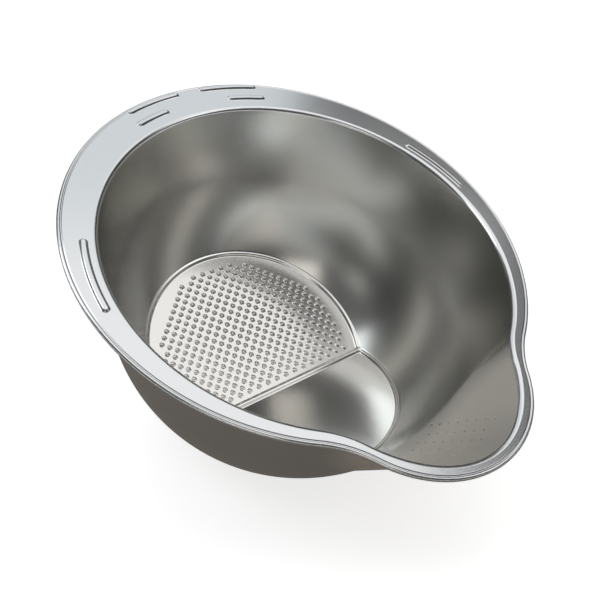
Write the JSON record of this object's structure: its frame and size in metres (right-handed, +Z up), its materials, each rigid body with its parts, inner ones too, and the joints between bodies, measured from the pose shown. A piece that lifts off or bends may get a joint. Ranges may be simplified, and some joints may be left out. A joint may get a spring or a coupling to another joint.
{
  "type": "rice washing bowl",
  "caption": "Pressed steel bowl with a wide flat rim, a perforated pouring spout, a dimpled washing floor and a smooth draining foot it can be tipped onto.",
  "frame": {"origin": "middle of the smooth draining foot's underside, on the bowl's symmetry plane, where it is set down", "axes": "+Z up with the bowl set down tipped on the draining foot, +X toward the pouring spout, Y across; the bowl is its own mirror image across Y"},
  "size_m": [0.263, 0.2506, 0.1572],
  "materials": {
    "rim_steel": "satin, ground along the rim",
    "wall_steel": "satin, spun",
    "floor_steel": "satin, pressed"
  },
  "bodies": {
    "root": {"rim_flange": "rim_steel", "rim_hem": "rim_steel", "side_ribs": "rim_steel", "back_ribs": "rim_steel", "left_wall": "wall_steel", "right_wall": "wall_steel", "left_base": "wall_steel", "right_base": "wall_steel", "pour_spout": "wall_steel", "wash_foot_step": "floor_steel", "wash_floor": "floor_steel", "floor_dimples": "floor_steel", "drain_foot_step": "floor_steel", "drain_floor": "floor_steel", "floor_bead": "floor_steel"}
  },
  "joints": []
}
